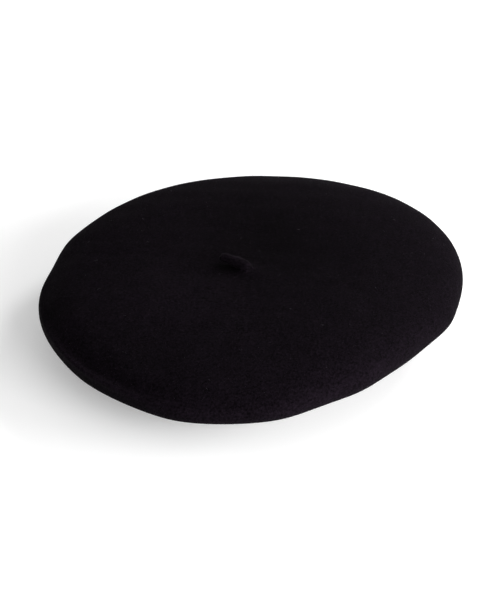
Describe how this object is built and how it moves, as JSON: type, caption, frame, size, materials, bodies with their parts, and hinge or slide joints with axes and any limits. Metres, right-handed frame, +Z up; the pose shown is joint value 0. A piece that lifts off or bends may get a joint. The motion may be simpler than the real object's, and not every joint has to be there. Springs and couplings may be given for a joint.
{
  "type": "beret",
  "caption": "Round wool felt beret with a short stalk on its crown, a leather sweatband and a satin lining.",
  "frame": {"origin": "on the surface the beret stands on, below the middle of its outline seen from above", "axes": "+Z up out of the crown, +Y towards the back of the hat where the sweatband is butted, +X towards the wearer's right"},
  "size_m": [0.2692, 0.2686, 0.0575],
  "materials": {
    "wool_felt": "matte",
    "satin_lining": "satin",
    "sweatband_leather": "satin",
    "cotton_thread": "matte",
    "label_tape": "satin"
  },
  "bodies": {
    "crown": {"felt_crown": "wool_felt", "stalk_tack": "cotton_thread", "lining_top": "satin_lining", "lining_side": "satin_lining", "lining_seam_thread": "cotton_thread", "sweatband": "sweatband_leather", "sweatband_thread": "cotton_thread", "sweatband_join_tape": "label_tape", "sweatband_join_thread": "cotton_thread", "size_label": "label_tape", "care_label_thread": "cotton_thread"},
    "stalk_root": {"stalk_root": "wool_felt"},
    "stalk": {"stalk": "wool_felt"},
    "care_label": {"care_label": "label_tape"}
  },
  "joints": [
    {"name": "stalk_swing", "type": "hinge", "parent": "crown", "child": "stalk_root", "pos_m": [-0.0038, -0.0071, 0.0506], "axis": [0, 0, 1], "range_deg": [-25, 25], "stiffness_Nm_per_rad": 0.002},
    {"name": "stalk_bend", "type": "hinge", "parent": "stalk_root", "child": "stalk", "pos_m": [-0.0038, -0.0071, 0.0506], "axis": [0.5, 0.866, 0], "range_deg": [-4, 70], "stiffness_Nm_per_rad": 0.002},
    {"name": "care_label_flap", "type": "hinge", "parent": "crown", "child": "care_label", "pos_m": [-0.0455, 0.07132, 0.02474], "axis": [-0.8829, -0.4695, 0], "range_deg": [0, 150]}
  ]
}
